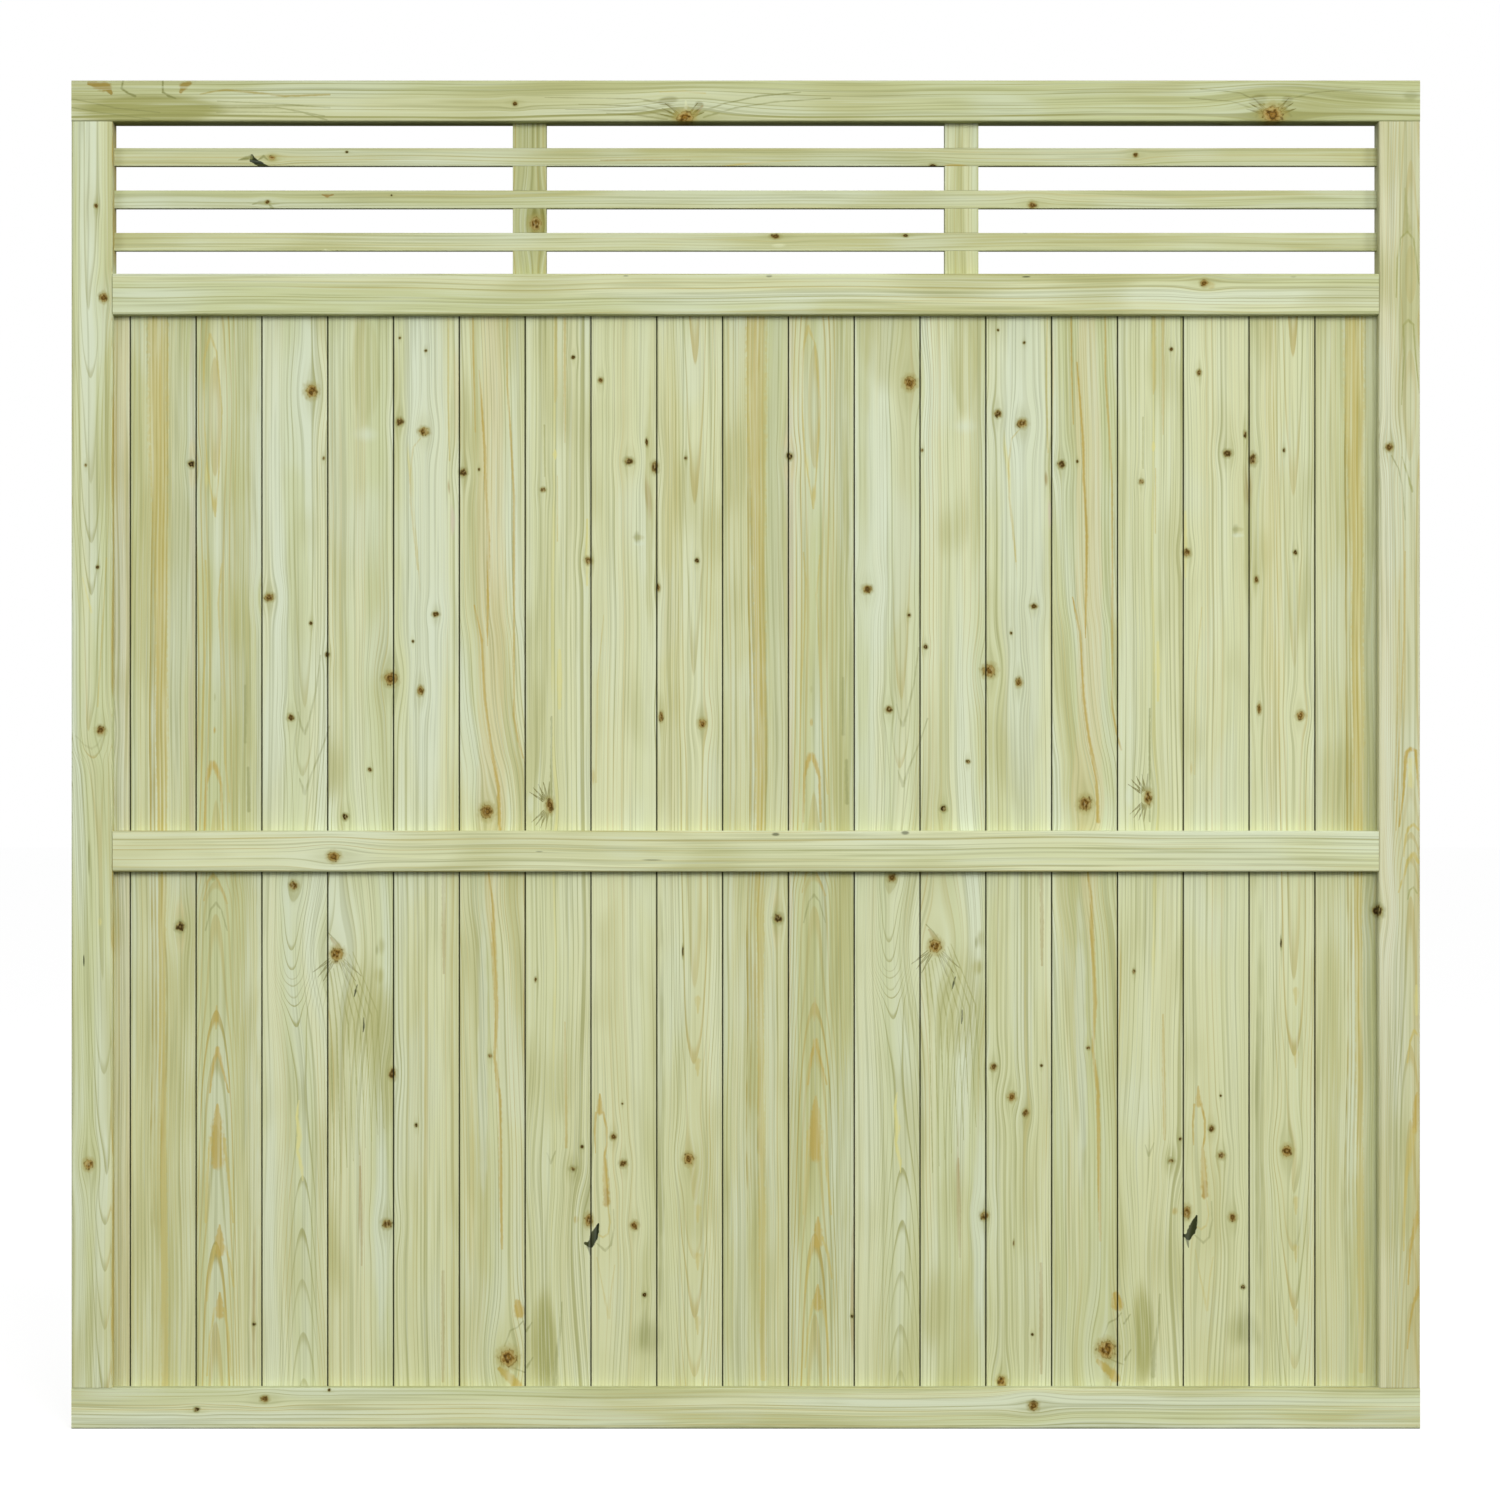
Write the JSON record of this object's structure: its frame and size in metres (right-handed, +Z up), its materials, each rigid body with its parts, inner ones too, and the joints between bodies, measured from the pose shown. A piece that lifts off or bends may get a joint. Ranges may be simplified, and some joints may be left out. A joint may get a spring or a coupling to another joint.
{
  "type": "privacy fence panel",
  "caption": "Square softwood fence panel with upright tongue-and-groove boards below and an open slatted band along the top, made to stand between two posts.",
  "frame": {"origin": "middle of the underside of the bottom rail", "axes": "+X along the panel to the right seen from the front, -Y out of the front face, +Z up"},
  "size_m": [1.8, 0.044, 1.8],
  "materials": {
    "frame_timber": "planed, pressure treated softwood, pale green",
    "slat_timber": "planed, pressure treated softwood, pale green",
    "board_timber": "planed, pressure treated softwood boards with knots, pale green",
    "brad_steel": "bright zinc-coated wire"
  },
  "bodies": {
    "root": {"top_rail": "frame_timber", "bottom_rail": "frame_timber", "left_stile": "frame_timber", "right_stile": "frame_timber", "slat_rail": "frame_timber", "mid_rail": "frame_timber", "slat_1": "slat_timber", "slat_2": "slat_timber", "slat_3": "slat_timber", "upright_1": "slat_timber", "upright_2": "slat_timber", "board_01": "board_timber", "board_02": "board_timber", "board_03": "board_timber", "board_04": "board_timber", "board_05": "board_timber", "board_06": "board_timber", "board_07": "board_timber", "board_08": "board_timber", "board_09": "board_timber", "board_10": "board_timber", "board_11": "board_timber", "board_12": "board_timber", "board_13": "board_timber", "board_14": "board_timber", "board_15": "board_timber", "board_16": "board_timber", "board_17": "board_timber", "board_18": "board_timber", "board_19": "board_timber", "board_20": "board_timber", "joint_brads": "brad_steel", "slat_brads": "brad_steel", "board_brads": "brad_steel"}
  },
  "joints": []
}
